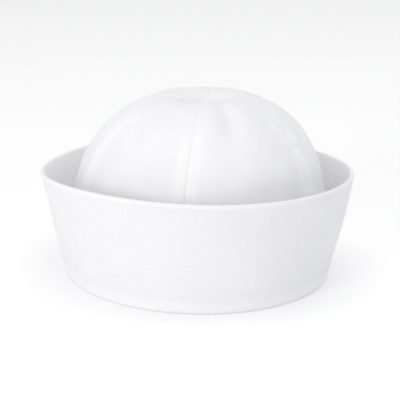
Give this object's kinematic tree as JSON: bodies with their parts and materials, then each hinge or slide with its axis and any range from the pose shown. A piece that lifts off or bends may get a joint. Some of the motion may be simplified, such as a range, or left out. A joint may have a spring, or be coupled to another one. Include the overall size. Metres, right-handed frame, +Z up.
{
  "type": "sailor cap",
  "caption": "White cloth sailor cap with a domed crown of sewn gores and a deep stitched brim turned up all round.",
  "frame": {"origin": "middle of the oval, on the surface that the cap rests on", "axes": "+Z up to the top of the crown, -Y to the front of the head, +X to the wearer's left"},
  "size_m": [0.2172, 0.2422, 0.1249],
  "materials": {
    "crown_twill": "soft white polyester twill, fine diagonal weave",
    "brim_twill": "stiffened white polyester twill in several layers",
    "stitching": "white polyester sewing thread with a slight shine"
  },
  "bodies": {
    "root": {"brim": "brim_twill", "crown_gore_1": "crown_twill", "crown_gore_2": "crown_twill", "crown_gore_3": "crown_twill", "crown_gore_4": "crown_twill", "crown_gore_5": "crown_twill", "crown_gore_6": "crown_twill"}
  },
  "joints": []
}
